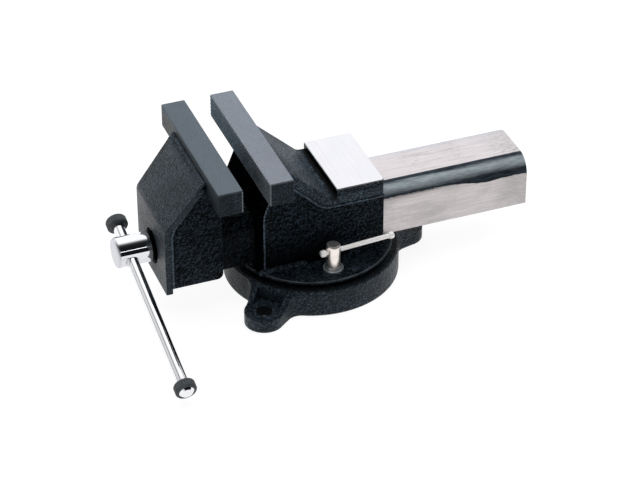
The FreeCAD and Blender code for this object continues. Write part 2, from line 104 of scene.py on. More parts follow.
H_AXIS = (cap_b - cap_a).normalized()
LUGS = []
for mount in frame["record"]["mounts"]:
    if mount["name"].startswith("lug_hole"):
        LUGS.append((mount["pos_m"][0], mount["pos_m"][1]))


# ------------------------------------------------------------------ shader building
class Mat:
    """A procedural material whose patterns sit in the object's own metres."""

    def __init__(self, name):
        self.m = bpy.data.materials.new(name)
        self.m.use_nodes = True
        self.t = self.m.node_tree
        self.b = self.t.nodes["Principled BSDF"]
        self.co = self.t.nodes.new("ShaderNodeTexCoord").outputs["Object"]
        self._sep = None

    def n(self, kind, **kw):
        nd = self.t.nodes.new("ShaderNode" + kind)
        for k, v in kw.items():
            setattr(nd, k, v)
        return nd

    def put(self, sock, v):
        if isinstance(v, bpy.types.NodeSocket):
            self.t.links.new(v, sock)
        elif v is not None:
            sock.default_value = v

    def set(self, name, v):
        self.put(self.b.inputs[name], v)

    def axis(self, i):
        if self._sep is None:
            self._sep = self.n("SeparateXYZ")
            self.t.links.new(self.co, self._sep.inputs[0])
        return self._sep.outputs[i]

    def stretch(self, scale, rot=(0, 0, 0), vec=None, shift=(0, 0, 0)):
        nd = self.n("Mapping")
        nd.inputs["Location"].default_value = shift
        self.put(nd.inputs["Vector"], vec or self.co)
        nd.inputs["Scale"].default_value = scale
        nd.inputs["Rotation"].default_value = rot
        return nd.outputs[0]

    def noise(self, scale, detail=3.0, rough=0.5, warp=0.0, vec=None):
        nd = self.n("TexNoise")
        self.put(nd.inputs["Vector"], vec or self.co)
        nd.inputs["Scale"].default_value = scale
        nd.inputs["Detail"].default_value = detail
        nd.inputs["Roughness"].default_value = rough
        nd.inputs["Distortion"].default_value = warp
        return nd.outputs["Fac"]

    def cells(self, scale, feature="F1", vec=None, smooth=None):
        nd = self.n("TexVoronoi", feature=feature)
        self.put(nd.inputs["Vector"], vec or self.co)
        nd.inputs["Scale"].default_value = scale
        if smooth is not None:
            nd.inputs["Smoothness"].default_value = smooth
        return nd.outputs["Distance"]

    def math(self, op, a, b=None, clamp=False):
        nd = self.n("Math", operation=op, use_clamp=clamp)
        self.put(nd.inputs[0], a)
        if b is not None:
            self.put(nd.inputs[1], b)
        return nd.outputs[0]

    def span(self, v, a, b, c=0.0, d=1.0, smooth=False):
        nd = self.n("MapRange", interpolation_type="SMOOTHSTEP" if smooth else "LINEAR")
        self.put(nd.inputs["Value"], v)
        for k, x in zip(("From Min", "From Max", "To Min", "To Max"), (a, b, c, d)):
            self.put(nd.inputs[k], x)
        return nd.outputs[0]

    def mix(self, f, a, b):
        nd = self.n("Mix", data_type="RGBA")
        self.put(nd.inputs[0], f)
        for i, v in ((6, a), (7, b)):
            self.put(nd.inputs[i], (*v, 1) if isinstance(v, tuple) and len(v) == 3 else v)
        return nd.outputs[2]

    def mixf(self, f, a, b):
        nd = self.n("Mix", data_type="FLOAT")
        self.put(nd.inputs[0], f)
        self.put(nd.inputs[2], a)
        self.put(nd.inputs[3], b)
        return nd.outputs[0]

    def bump(self, h, strength, depth, under=None):
        nd = self.n("Bump")
        self.put(nd.inputs["Height"], h)
        nd.inputs["Strength"].default_value = strength
        nd.inputs["Distance"].default_value = depth
        if under is not None:
            self.put(nd.inputs["Normal"], under)
        return nd.outputs[0]


def hammered(M, grain=1.0, depth=1.0):
    """(height, mask of the raised flecks) of wrinkled paint: pebbles a couple of millimetres wide under finer grain.
    The fleck mask is partly the paint's own mottling and partly painted highlight on the slopes of the relief that face
    the light.
    """
    warp = M.noise(120.0 / grain, 2.0, 0.5)
    peb = M.cells(300.0 / grain, "SMOOTH_F1", smooth=0.55)
    ridg = M.noise(330.0 / grain, 4.0, 0.6, 0.9)
    fine = M.noise(950.0 / grain, 3.0, 0.6)
    h = M.math("MULTIPLY", peb, -0.8)
    h = M.math("ADD", h, M.math("MULTIPLY", ridg, 1.5))
    h = M.math("ADD", h, M.math("MULTIPLY", warp, 0.8))
    h = M.math("ADD", h, M.math("MULTIPLY", fine, 0.35))
    spot = M.noise(520.0 / grain, 1.6, 0.55, 0.35)
    # painted highlight: a noise minus its shifted copy lightens the sides of the relief that face the light
    aside = M.stretch((1, 1, 1), shift=(0.0005 * grain, -0.0004 * grain, 0.0009 * grain))
    light_facing_highlight = M.math("SUBTRACT", M.noise(270.0 / grain, 2.0, 0.5, 0.6), M.noise(270.0 / grain, 2.0, 0.5, 0.6, aside))
    fleck = M.math("ADD", M.math("MULTIPLY", ridg, 0.32), M.math("MULTIPLY", spot, 0.68))
    fleck = M.math("ADD", fleck, M.math("MULTIPLY", light_facing_highlight, 0.75))
    fleck = M.math("ADD", fleck, M.math("MULTIPLY", M.math("SUBTRACT", warp, 0.5), 0.12))
    return M.math("MULTIPLY", h, depth), fleck


def paint_layer(M, grain=1.0, depth=1.0, lift=1.0, contrast=1.0):
    """(colour, roughness, height) of the black textured paint: near black in the hollows, blue-grey on the raised
    flecks. The dark hollows are partly painted shade and the pale flecks partly painted highlight; the rest is the
    paint's own mottling.
    """
    h, fleck = hammered(M, grain, depth)
    big = M.noise(26.0, 3.0, 0.6)
    mid = 0.0120 * lift
    lo_v, hi_v = mid * max(0.05, 1 - 0.90 * contrast), mid * (1 + 5.2 * contrast)
    dark = (lo_v * 0.72, lo_v * 0.98, lo_v * 1.26)
    pale = (hi_v * 0.68, hi_v * 1.0, hi_v * 1.36)
    c = M.mix(M.span(fleck, 0.475, 0.60), dark, pale)
    c = M.mix(M.span(big, 0.42, 0.72, 0.0, 0.45), c, (mid * 0.45, mid * 0.54, mid * 0.62))
    r = M.span(M.math("ADD", M.math("MULTIPLY", fleck, -0.6), M.math("MULTIPLY", big, 0.6)), -0.1, 0.25, 0.32, 0.52)
    return c, r, h


def finish_paint(M, c, r, h, strength=0.75, depth=0.00095, level=0.3):
    M.set("Base Color", c)
    M.set("Roughness", r)
    M.set("Normal", M.bump(h, strength, depth))
    M.set("Specular IOR Level", level)
    M.set("Specular Tint", (0.70, 0.88, 1.0, 1.0))


def make_paint(name, grain=1.0, depth=1.0, strength=0.75, lift=1.0, contrast=1.0, level=0.3, foot_shade=None):
    """The foot triple (z0, z1, factor) is painted shade: it darkens the paint towards its lower edge, most of all under
    the jaw.
    """
    M = Mat(name)
    c, r, h = paint_layer(M, grain, depth, lift, contrast)
    if foot_shade:
        # painted shade: darker towards the lower edge and towards the front, under the jaw
        low = M.math("MULTIPLY", M.span(M.axis(2), foot_shade[0], foot_shade[1], foot_shade[2], 0.0, smooth=True), M.span(M.axis(1), 0.0, 0.024, 1.0, 0.0))
        c = M.mix(low, c, (0.0005, 0.0006, 0.0008))
    finish_paint(M, c, r, h, strength, level=level)
    return M.m


def steel_layer(M, tint, along="y", streak=1.0, finer=1.0, low=0.80):
    """(colour, roughness, height) of ground steel with its marks along one axis."""
    s = {"x": (5, 900, 900), "y": (900, 5, 900), "z": (900, 900, 5)}[along]
    t = {"x": (26, 240, 240), "y": (240, 26, 240), "z": (240, 240, 26)}[along]
    t = tuple(x * finer for x in t)
    fine = M.noise(1.0, 4.0, 0.65, 0.0, M.stretch(s))
    wide = M.noise(1.0, 3.0, 0.6, 0.0, M.stretch(t))
    cloud = M.noise(38.0, 3.0, 0.6)
    c0 = tuple(x * low for x in tint)
    c = M.mix(M.span(fine, 0.36, 0.66), c0, tint)
    c = M.mix(M.span(wide, 0.5, 0.8, 0.0, 0.30 * streak), c, tuple(x * 0.66 for x in tint))
    c = M.mix(M.span(cloud, 0.5, 0.8, 0.0, 0.18), c, tuple(min(1, x * 1.12) for x in tint))
    r = M.span(M.math("ADD", fine, M.math("MULTIPLY", cloud, 0.6)), 0.55, 1.05, 0.26, 0.46)
    return c, r, fine


def box_mask(M, i, edge, side, soft=0.0004, ragged=0.0):
    """1 where coordinate i is past edge (side +1) or below it (side -1), with a ragged border."""
    v = M.axis(i)
    if ragged:
        v = M.math("ADD", v, M.math("MULTIPLY", M.math("SUBTRACT", M.noise(260.0, 4.0, 0.65), 0.5), ragged))
    if side > 0:
        return M.span(v, edge - soft, edge + soft)
    return M.span(v, edge - soft, edge + soft, 1.0, 0.0)


def metal(M, c, r, h, strength=0.12, depth=0.00008, aniso=0.0):
    M.set("Base Color", c)
    M.set("Roughness", r)
    M.set("Metallic", 1.0)
    if aniso:
        M.set("Anisotropic", aniso)
    M.set("Normal", M.bump(h, strength, depth))


# ---- black paints: one textured black paint in copies whose lift sets their brightness part by part, as painted light and shade for how the light falls on each: lighter on the front plates, strap and welds, darker on the side plates, the turntable and the parts in shade
paint_side = make_paint("paint_side", 0.85, 1.5, 1.0, 0.58, 1.15, 0.035, (Z_TABLE, Z_TABLE + 0.058, 0.95))
paint_side_moving = make_paint("paint_side_moving", 0.85, 1.6, 1.0, 0.54, 1.15, 0.04)
paint_front = make_paint("paint_front", 0.62, 0.8, 0.95, 0.86, 0.8, 0.24)
paint_strap = make_paint("paint_strap", 0.7, 0.65, 0.8, 1.3, 0.8, 0.32)
paint_weld = make_paint("paint_weld", 0.6, 0.5, 0.7, 0.9, 0.8, 0.16)
# painted highlight: the seam beads' paint is lifted far brighter so they read as lines of light
paint_seam_highlight = make_paint("paint_seam_highlight", 0.5, 0.5, 0.7, 2.5, 0.7, 0.34)
paint_table = make_paint("paint_table", 0.7, 1.0, 0.9, 0.44, 1.15, 0.05)
# painted shade: the fixed front plate's paint is near black, for the shade inside the gap between the jaws
paint_inner_shade = make_paint("paint_inner_shade", 0.8, 0.8, 0.8, 0.045, 1.0, 0.0)


def make_cast():
    """Painted casting, bare and machined where it stands on the bench and where the T-nuts slide."""
    M = Mat("cast_paint")
    c, r, h = paint_layer(M, 0.62, 1.0, 0.98, 0.9)
    lump = M.noise(60.0, 3.0, 0.6)
    h = M.math("ADD", h, M.math("MULTIPLY", lump, 2.2))
    bare = box_mask(M, 2, 0.0006, -1, 0.0003)
    rust = M.mix(M.span(M.noise(90.0, 4.0, 0.6), 0.4, 0.7), (0.17, 0.165, 0.16), (0.28, 0.27, 0.26))
    # painted shade: the bolt holes are coloured near black inside, for the shade deep in them
    dark = None
    for lx, ly in LUGS:
        dx = M.math("SUBTRACT", M.axis(0), lx)
        dy = M.math("SUBTRACT", M.axis(1), ly)
        rr = M.math("SQRT", M.math("ADD", M.math("MULTIPLY", dx, dx), M.math("MULTIPLY", dy, dy)))
        one = M.span(rr, 0.0070, 0.00715, 1.0, 0.0)
        dark = one if dark is None else M.math("MAXIMUM", dark, one)
    dark = M.math("MULTIPLY", dark, M.span(M.axis(2), 0.0004, 0.0006))
    # painted shade: darkened under the jaw, on the ring round the turntable and in the lug pockets
    under_jaw_shade = M.math("MULTIPLY", M.span(M.axis(1), -0.062, -0.030, 1.0, 0.0, smooth=True), M.span(M.axis(0), 0.018, 0.046, 1.0, 0.0, smooth=True))
    base_ring_shade = M.math("MULTIPLY", M.span(M.axis(2), Z_BASE - 0.0012, Z_BASE - 0.0004), 0.9)
    c = M.mix(M.math("MAXIMUM", M.math("MULTIPLY", under_jaw_shade, 0.95), base_ring_shade), c, (0.0008, 0.001, 0.0012))
    M.set("Base Color", M.mix(dark, M.mix(bare, c, rust), (0.0006, 0.0007, 0.0008)))
    M.set("Metallic", bare)
    M.set("Roughness", M.mixf(dark, M.mixf(bare, r, 0.42), 0.85))
    M.set("Normal", M.bump(h, 0.85, 0.0009))
    M.set("Specular IOR Level", 0.16)
    M.set("Specular Tint", (0.70, 0.88, 1.0, 1.0))
    return M.m


cast_paint = make_cast()


def make_jaw(name, top_tint, y_face, toward):
    """Hardened jaw block: satin top, bare cross-hatched face, painted elsewhere."""
    M = Mat(name)
    c, r, h = paint_layer(M, 0.6, 0.55, 0.62, 0.85)
    grain = M.noise(1500.0, 3.0, 0.6)
    streak = M.noise(1.0, 3.0, 0.6, 0.0, M.stretch((8, 500, 500)))
    cloud = M.noise(34.0, 4.0, 0.62)
    sc = M.mix(M.span(cloud, 0.35, 0.7), tuple(x * 0.86 for x in top_tint), top_tint)
    sc = M.mix(M.span(streak, 0.5, 0.85, 0.0, 0.35), sc, tuple(x * 1.18 for x in top_tint))
    sc = M.mix(M.span(M.noise(760.0, 3.0, 0.7), 0.40, 0.62, 0.0, 0.55), sc, tuple(x * 0.62 for x in top_tint))
    sc = M.mix(M.span(grain, 0.5, 0.72, 0.0, 0.4), sc, tuple(x * 1.35 for x in top_tint))
    sr = M.span(M.math("ADD", cloud, M.math("MULTIPLY", grain, 0.5)), 0.5, 1.0, 0.40, 0.56)
    top = box_mask(M, 2, JAW_TOP - 0.0009, 1, 0.00035, 0.0006)
    if toward > 0:
        face = box_mask(M, 1, y_face + 0.0014, -1, 0.0003)
    else:
        face = box_mask(M, 1, y_face - 0.0014, 1, 0.0003)
    tooth = M.mix(M.span(cloud, 0.35, 0.7), (0.085, 0.095, 0.108), (0.165, 0.182, 0.20))
    bare = M.math("MAXIMUM", top, face)
    M.set("Base Color", M.mix(top, M.mix(face, c, tooth), sc))
    M.set("Metallic", bare)
    M.set("Roughness", M.mixf(bare, r, sr))
    M.set("Specular IOR Level", 0.12)
    M.set("Specular Tint", (0.70, 0.88, 1.0, 1.0))
    M.set("Normal", M.bump(M.mixf(bare, h, M.math("MULTIPLY", grain, 0.16)), 0.55, 0.0004))
    return M.m


# painted shade: the movable jaw's top is tinted darker than the fixed jaw's, for how the light falls on it
jaw_fixed = make_jaw("jaw_fixed", (0.270, 0.284, 0.314), Y_FIX, 1)
jaw_moving = make_jaw("jaw_moving", (0.146, 0.164, 0.183), Y_MOV, -1)


def make_anvil():
    M = Mat("anvil")
    c, r, h = paint_layer(M, 0.7, 0.6, 0.9)
    # painted shade: the anvil's front face is coloured near black, for the shade on it
    front = box_mask(M, 1, ANVIL_Y0 + 0.0004, -1, 0.0002)
    c = M.mix(front, c, (0.0007, 0.0008, 0.001))
    sc, sr, sh = steel_layer(M, (0.768, 0.768, 0.797), "x", 0.45, 3.2, 0.88)
    sc = M.mix(M.span(M.axis(2), ANVIL_TOP - 0.00035, ANVIL_TOP - 0.00015, 0.75, 0.0), sc, (0.30, 0.285, 0.27))
    top = box_mask(M, 2, ANVIL_TOP - 0.0007, 1, 0.0002, 0.0007)
    M.set("Base Color", M.mix(top, c, sc))
    M.set("Metallic", top)
    M.set("Specular IOR Level", 0.06)
    M.set("Roughness", M.mixf(top, r, sr))
    M.set("Normal", M.bump(M.mixf(top, h, M.math("MULTIPLY", sh, 0.08)), 0.6, 0.0004))
    return M.m


def make_strap():
    """Strap paint, a lighter copy of the black paint as painted light on the strap, with painted shade where it runs up
    to the anvil plate: coloured near black and rougher there.
    """
    M = Mat("paint_strap_top")
    c, r, h = paint_layer(M, 0.62, 0.8, 1.6, 0.8)
    rag = M.math("MULTIPLY", M.math("SUBTRACT", M.noise(420.0, 4.0, 0.7), 0.5), 0.013)
    y = M.math("ADD", M.axis(1), rag)
    # painted shade next to the anvil plate's front edge, with a ragged border
    near = M.math("MULTIPLY", M.span(y, ANVIL_Y0 - 0.0052, ANVIL_Y0 - 0.0028), M.span(M.axis(1), ANVIL_Y0, ANVIL_Y0 + 0.0005, 1.0, 0.0))
    near = M.math("MULTIPLY", near, M.span(M.axis(2), ANVIL_TOP - 0.0115, ANVIL_TOP - 0.0095))
    finish_paint(M, M.mix(near, c, (0.0007, 0.0008, 0.001)), M.mixf(near, M.math("ADD", r, 0.14), 0.7), h, 0.95, level=0.19)
    return M.m


strap_mat = make_strap()


def make_table():
    """Turntable paint, a darker copy of the black paint as painted shade, with a painted highlight: its rim coloured a
    little lighter in patches, for the thin line of light along the rounded edge.
    """
    M = Mat("paint_turntable")
    c, r, h = paint_layer(M, 0.68, 1.0, 0.46, 1.15)
    x, y = M.axis(0), M.axis(1)
    rr = M.math("SQRT", M.math("ADD", M.math("MULTIPLY", x, x), M.math("MULTIPLY", y, y)))
    R = hi("turntable_plate").x
    # painted highlight along the rim
    rim = M.math("MULTIPLY", M.span(rr, R - 0.0013, R - 0.0008), M.span(M.axis(2), Z_TABLE - 0.0015, Z_TABLE - 0.0008))
    patchy = M.span(M.noise(90.0, 3.0, 0.6), 0.38, 0.62, 0.45, 1.0)
    finish_paint(M, M.mix(M.math("MULTIPLY", rim, patchy), c, (0.075, 0.088, 0.098)), r, h, 0.9, level=0.06)
    return M.m


table_mat = make_table()
anvil_mat = make_anvil()


BEND = 0.016


def make_bar():
    """Ground channel: bright flats with drawn scratches and pits, mill scale left on the two bends, paint near the jaw."""
    M = Mat("bar_steel")
    sc, sr, sh = steel_layer(M, (0.70, 0.645, 0.65), "y", 1.0)
    # long marks, pits and rubbed patches
    scr = M.noise(1.0, 3.0, 0.7, 0.0, M.stretch((620, 22, 620)))
    sc = M.mix(M.span(scr, 0.55, 0.68, 0.0, 0.60), sc, (0.40, 0.355, 0.36))
    scr2 = M.noise(1.0, 2.0, 0.6, 0.0, M.stretch((1100, 60, 1100), (0, 0, 0.02)))
    sc = M.mix(M.span(scr2, 0.60, 0.74, 0.0, 0.5), sc, (0.92, 0.88, 0.88))
    patch = M.noise(24.0, 5.0, 0.7)
    pits = M.noise(1.0, 4.0, 0.75, 0.0, M.stretch((760, 210, 760)))
    where = M.span(patch, 0.50, 0.66)
    sc = M.mix(M.math("MULTIPLY", M.span(pits, 0.55, 0.66), M.math("MULTIPLY", where, 0.9)), sc, (0.17, 0.158, 0.155))
    sc = M.mix(M.math("MULTIPLY", where, 0.22), sc, (0.48, 0.46, 0.445))
    grime = M.math("MULTIPLY", M.span(M.axis(1), BAR_TAIL - 0.034, BAR_TAIL - 0.004), M.span(pits, 0.40, 0.60))
    sc = M.mix(M.math("MULTIPLY", grime, 0.5), sc, (0.30, 0.285, 0.27))
    ax = M.math("ABSOLUTE", M.axis(0))
    # painted shade: the side flats are coloured darker than the top, in noisy patches
    flank = M.span(ax, BAR_HW - 0.0008, BAR_HW - 0.0003)
    flank_shade_patches = M.span(M.noise(1.0, 4.0, 0.65, 0.0, M.stretch((300, 22, 60))), 0.42, 0.66, 0.18, 0.62)
    sc = M.mix(M.math("MULTIPLY", flank, flank_shade_patches), sc, (0.335, 0.322, 0.318))
    u = M.math("SUBTRACT", ax, BAR_HW - BEND)
    w = M.math("SUBTRACT", M.axis(2), BAR_Z1 - BEND)
    ang = M.math("ARCTAN2", w, u)
    wob = M.math("MULTIPLY", M.math("SUBTRACT", M.noise(1.0, 2.0, 0.5, 0.0, M.stretch((60, 26, 60))), 0.5), 0.34)
    chip = M.math("MULTIPLY", M.math("SUBTRACT", M.noise(1.0, 4.0, 0.7, 0.0, M.stretch((300, 150, 300))), 0.5), 0.14)
    # the grinding has bitten further into the scale towards the tail
    far = M.span(M.axis(1), BAR_TAIL - 0.085, BAR_TAIL - 0.02, 0.0, 1.0, smooth=True)
    a_top = M.math("ADD", ang, M.math("MULTIPLY", chip, 0.35))
    a_low = M.math("ADD", ang, M.math("ADD", M.math("MULTIPLY", wob, far), chip))
    near_side = M.span(M.axis(0), -0.001, 0.001, 1.12, 1.50)
    upper = M.span(M.math("SUBTRACT", a_top, near_side), -0.025, 0.025, 1.0, 0.0)
    edge = M.span(M.axis(1), BAR_TAIL - 0.085, BAR_TAIL - 0.030, 0.40, 0.10, smooth=True)
    lower = M.span(M.math("SUBTRACT", a_low, edge), -0.012, 0.012)
    outside = M.span(M.math("ADD", M.math("MULTIPLY", u, u), M.math("MULTIPLY", w, w)), (BEND - 0.0012) ** 2, (BEND - 0.0006) ** 2)
    scale_mask = M.math("MULTIPLY", M.math("MULTIPLY", upper, lower), outside)
    # scale: blue-black at both borders, with a painted highlight: a paler band along the middle of each bend, coloured
    # by angle round the bend for the sheen of light on it
    mott = M.noise(1.0, 3.0, 0.6, 0.0, M.stretch((330, 26, 330)))
    mid_v = M.math("ADD", M.math("MULTIPLY", M.math("SUBTRACT", mott, 0.5), 0.35), a_top)
    crest_highlight = M.math("MULTIPLY", M.span(mid_v, 0.42, 0.90, smooth=True), M.span(mid_v, 1.02, 1.34, 1.0, 0.0, smooth=True))
    fleck = M.noise(1.0, 4.0, 0.65, 0.0, M.stretch((700, 120, 700)))
    pale = M.mix(M.span(fleck, 0.38, 0.66), (0.25, 0.29, 0.315), (0.37, 0.42, 0.445))
    deep = M.mix(M.span(fleck, 0.38, 0.66), (0.012, 0.017, 0.023), (0.036, 0.046, 0.057))
    skin = M.mix(crest_highlight, deep, pale)
    # underside and inside stay as rolled
    side_flat = M.span(ax, BAR_HW - 0.0004, BAR_HW - 0.0002, 1.0, 0.0)
    top_flat = M.span(M.axis(2), BAR_Z1 - 0.0004, BAR_Z1 - 0.0002, 1.0, 0.0)
    tail = M.span(M.axis(1), BAR_TAIL - 0.0006, BAR_TAIL - 0.0003)
    on_bend = M.math("MULTIPLY", outside, M.math("MULTIPLY", M.span(u, -0.0002, 0.0), M.span(w, -0.0002, 0.0)))
    inner = M.math("MULTIPLY", M.math("MULTIPLY", side_flat, top_flat), M.math("SUBTRACT", 1.0, M.math("MAXIMUM", on_bend, tail)))
    # black paint near the jaw, partly real and partly painted shade: its very low lift darkens it for the gap between
    # the jaws
    paint_c, paint_r, paint_h = paint_layer(M, 0.8, 0.9, 0.16, 1.2)
    pm = box_mask(M, 1, Y_FIX + 0.006, -1, 0.0006, 0.003)
    c = M.mix(scale_mask, sc, skin)
    c = M.mix(M.math("MULTIPLY", inner, 0.85), c, (0.11, 0.115, 0.12))
    M.set("Base Color", M.mix(pm, c, paint_c))
    M.set("Metallic", M.math("SUBTRACT", 1.0, M.math("MAXIMUM", pm, M.math("MULTIPLY", scale_mask, 0.8))))
    M.set("Specular IOR Level", 0.03)
    M.set("Specular Tint", (0.86, 0.94, 1.0, 1.0))
    rr = M.mixf(scale_mask, sr, M.span(fleck, 0.3, 0.7, 0.26, 0.40))
    M.set("Roughness", M.mixf(pm, rr, paint_r))
    M.set("Normal", M.bump(M.mixf(pm, M.math("MULTIPLY", M.math("ADD", sh, scr), 0.07), paint_h), 0.5, 0.0005))
    return M.m


bar_mat = make_bar()


def make_chrome(name, rough_lo, rough_hi, tint=(0.90, 0.905, 0.92)):
    M = Mat(name)
    cloud = M.noise(70.0, 4.0, 0.6)
    hair = M.noise(1.0, 3.0, 0.6, 0.0, M.stretch((900, 900, 60), (0.2, 0.9, 0.1)))
    c = M.mix(M.span(cloud, 0.4, 0.75), tint, tuple(x * 0.93 for x in tint))
    c = M.mix(M.span(hair, 0.66, 0.8, 0.0, 0.25), c, tuple(x * 0.8 for x in tint))
    r = M.span(M.math("ADD", cloud, M.math("MULTIPLY", hair, 0.4)), 0.45, 0.95, rough_lo, rough_hi)
    metal(M, c, r, hair, 0.10, 0.00003)
    return M.m


chrome_bar = make_chrome("chrome_bar", 0.04, 0.11, (0.86, 0.865, 0.88))


def make_head():
    """Polished head; the turned end face and its chamfer are satin."""
    M = Mat("chrome_head")
    cloud = M.noise(80.0, 4.0, 0.6)
    x = M.axis(0)
    z = M.math("SUBTRACT", M.axis(2), SCREW_Z)
    rad = M.math("SQRT", M.math("ADD", M.math("MULTIPLY", x, x), M.math("MULTIPLY", z, z)))
    comb = M.n("CombineXYZ")
    M.put(comb.inputs[0], M.math("MULTIPLY", rad, 2600.0))
    nz = M.n("TexNoise")
    M.put(nz.inputs["Vector"], comb.outputs[0])
    nz.inputs["Scale"].default_value = 1.0
    nz.inputs["Detail"].default_value = 3.0
    ring = nz.outputs["Fac"]
    end = box_mask(M, 1, lo("lead_screw").y + 0.0027, -1, 0.0002)
    c = M.mix(M.span(cloud, 0.4, 0.75), (0.77, 0.78, 0.80), (0.70, 0.71, 0.735))
    c = M.mix(end, c, M.mix(M.span(ring, 0.35, 0.65), (0.54, 0.545, 0.58), (0.71, 0.715, 0.75)))
    # painted shade: the last 3 mm of the head before the front plate is coloured near black, for the shadow in the
    # plate's hole
    head_rear_shade = box_mask(M, 1, FRONT_Y - 0.0030, 1, 0.0002)
    c = M.mix(head_rear_shade, c, (0.006, 0.006, 0.007))
    M.set("Base Color", c)
    M.set("Metallic", 1.0)
    M.set("Roughness", M.mixf(end, M.span(cloud, 0.35, 0.7, 0.03, 0.09), 0.36))
    M.set("Normal", M.bump(M.math("MULTIPLY", ring, end), 0.2, 0.00005))
    return M.m


head_mat = make_head()


def make_zinc(name, tint, dark_top=None, rough=(0.13, 0.26), rim=None):
    """Bright plating; dark_top leaves everything above that height dull."""
    M = Mat(name)
    cloud = M.noise(160.0, 4.0, 0.6)
    fine = M.noise(1300.0, 3.0, 0.6)
    c = M.mix(M.span(cloud, 0.35, 0.7), tint, tuple(x * 0.9 for x in tint))
    c = M.mix(M.span(fine, 0.6, 0.85, 0.0, 0.3), c, tuple(x * 0.7 for x in tint))
    r = M.span(M.math("ADD", cloud, M.math("MULTIPLY", fine, 0.5)), 0.5, 1.0, *rough)
    if dark_top is not None:
        dull = box_mask(M, 2, dark_top, 1, 0.00008)
        patchy = M.mix(M.span(M.noise(520.0, 4.0, 0.7), 0.42, 0.66), (0.050, 0.052, 0.056), (0.125, 0.125, 0.125))
        c = M.mix(dull, c, patchy)
        r = M.mixf(dull, r, 0.4)
        M.set("Metallic", M.span(dull, 0.0, 1.0, 1.0, 0.25))
    elif rim:
        dx = M.math("SUBTRACT", M.math("ABSOLUTE", M.axis(0)), rim[0])
        rr = M.math("SQRT", M.math("ADD", M.math("MULTIPLY", dx, dx), M.math("MULTIPLY", M.axis(1), M.axis(1))))
        edge = M.span(rr, rim[1] - 0.0010, rim[1] - 0.0006)
        # painted reflection: the washer's face inside its outer edge is coloured a third as bright, for the dark it
        # reflects
        c = M.mix(edge, tuple(x * 0.34 for x in tint), c)
        M.set("Metallic", M.mixf(edge, 0.5, 0.75))
    else:
        M.set("Metallic", 0.35)
    M.set("Base Color", c)
    M.set("Roughness", r)
    M.set("Normal", M.bump(fine, 0.12, 0.00006))
    return M.m


zinc_bolt = make_zinc("zinc_bolt", (0.93, 0.86, 0.80), hi("lock_bolt_right").z - 0.00015, (0.22, 0.34))
zinc_bar = make_zinc("zinc_bar", (1.0, 0.985, 0.96), None, (0.30, 0.42))
w_lo, w_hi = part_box("lock_washer_right")
zinc_washer = make_zinc("zinc_washer", (0.72, 0.80, 0.86), None, (0.24, 0.36), ((w_lo.x + w_hi.x) / 2, (w_hi.x - w_lo.x) / 2))


def make_rubber():
    M = Mat("rubber")
    cloud = M.noise(200.0, 4.0, 0.6)
    fine = M.noise(2200.0, 3.0, 0.6)
    c = M.mix(M.span(cloud, 0.35, 0.7), (0.026, 0.031, 0.035), (0.054, 0.062, 0.070))
    c = M.mix(M.span(fine, 0.6, 0.9, 0.0, 0.5), c, (0.085, 0.09, 0.095))
    M.set("Base Color", c)
    M.set("Roughness", M.span(cloud, 0.3, 0.7, 0.46, 0.66))
    M.set("Normal", M.bump(fine, 0.3, 0.00012))
    return M.m


rubber = make_rubber()


def make_iron(name, dark, pale, r0, r1, grain=500.0):
    M = Mat(name)
    cloud = M.noise(60.0, 4.0, 0.6)
    fine = M.noise(grain, 4.0, 0.62)
    c = M.mix(M.span(cloud, 0.35, 0.7), dark, pale)
    c = M.mix(M.span(fine, 0.55, 0.85, 0.0, 0.5), c, tuple(x * 0.55 for x in dark))
    metal(M, c, M.span(M.math("ADD", cloud, fine), 0.8, 1.3, r0, r1), fine, 0.35, 0.0002)
    return M.m


iron = make_iron("nut_iron", (0.13, 0.13, 0.128), (0.21, 0.208, 0.2), 0.42, 0.6)
oxide = make_iron("black_oxide", (0.030, 0.032, 0.036), (0.055, 0.058, 0.064), 0.34, 0.5, 800.0)
thread_steel = make_iron("thread_steel", (0.34, 0.33, 0.315), (0.52, 0.505, 0.48), 0.26, 0.42, 900.0)
washer_steel = make_iron("washer_steel", (0.45, 0.44, 0.42), (0.60, 0.59, 0.56), 0.24, 0.4, 900.0)


def clad(obj, mat):
    obj.data.materials.clear()
    obj.data.materials.append(mat)


# ------------------------------------------------------------------ mesh building
def new_piece(name, bm, body, mat, sharp=35.0, replaces=()):
    me = bpy.data.meshes.new(name)
    bmesh.ops.recalc_face_normals(bm, faces=bm.faces)
    bm.to_mesh(me)
    bm.free()
    me.polygons.foreach_set("use_smooth", [True] * len(me.polygons))
    me.set_sharp_from_angle(angle=math.radians(sharp))
    ob = bpy.data.objects.new(name, me)
    scene.collection.objects.link(ob)
    clad(ob, mat)
    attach(ob, body)
    if replaces:
        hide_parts(*replaces)
    return ob


def soften(node, width, mat, segments=2, least=24.0, chosen=None):
    """The same solid as a CAD node with its sharp corners broken by a small round."""
    body = N[node]["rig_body"]
    bm = bmesh.new()
    bm.from_mesh(N[node].data)
    bmesh.ops.remove_doubles(bm, verts=bm.verts, dist=1e-6)
    bmesh.ops.dissolve_limit(bm, angle_limit=math.radians(0.4), verts=bm.verts, edges=bm.edges)
    edges = [e for e in bm.edges if len(e.link_faces) == 2 and e.calc_face_angle(0.0) > math.radians(least)
             and (chosen is None or chosen(e))]
    bmesh.ops.bevel(bm, geom=edges, offset=width * MM, offset_type="OFFSET", segments=segments, profile=0.5,
                    affect="EDGES", clamp_overlap=True, harden_normals=False)
    return new_piece(node + ".v", bm, body, mat, 32.0, (node,))


